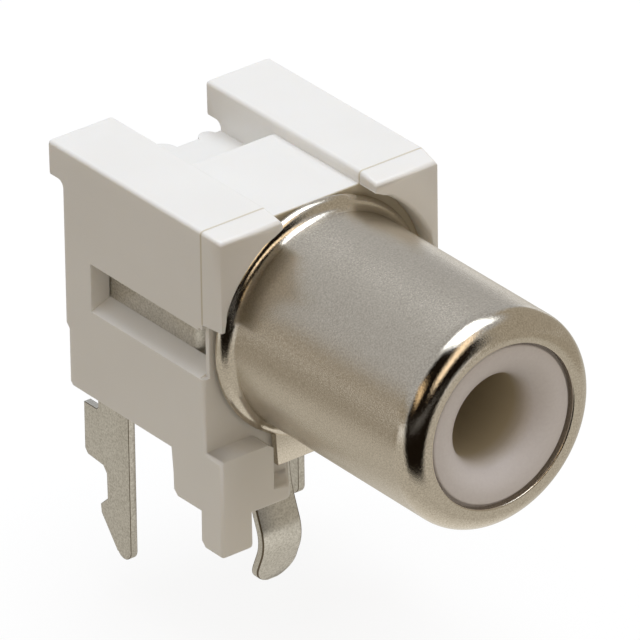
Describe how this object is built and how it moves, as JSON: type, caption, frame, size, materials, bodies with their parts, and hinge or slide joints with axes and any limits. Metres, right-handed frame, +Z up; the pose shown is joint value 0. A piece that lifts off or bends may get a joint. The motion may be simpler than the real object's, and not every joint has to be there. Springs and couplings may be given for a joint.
{
  "type": "phono socket",
  "caption": "Right-angle phono (coaxial audio) socket for a circuit board: white housing, round metal barrel, centre bore, snap-in solder terminals.",
  "frame": {"origin": "datum of the board footprint: on the circuit board's top, under the middle of the housing's front face", "axes": "the barrel points along -Y with its axis at x = 0, +Z is up off the board"},
  "size_m": [0.0098, 0.0195, 0.0169],
  "materials": {
    "housing": "satin",
    "shell": "satin nickel plate",
    "insulator": "matte",
    "contact": "dull tin plate"
  },
  "bodies": {
    "root": {"housing": "housing", "shell": "shell", "insulator": "insulator", "tip_contact": "contact", "switch_contact": "contact", "ground_contact": "contact"}
  },
  "joints": []
}
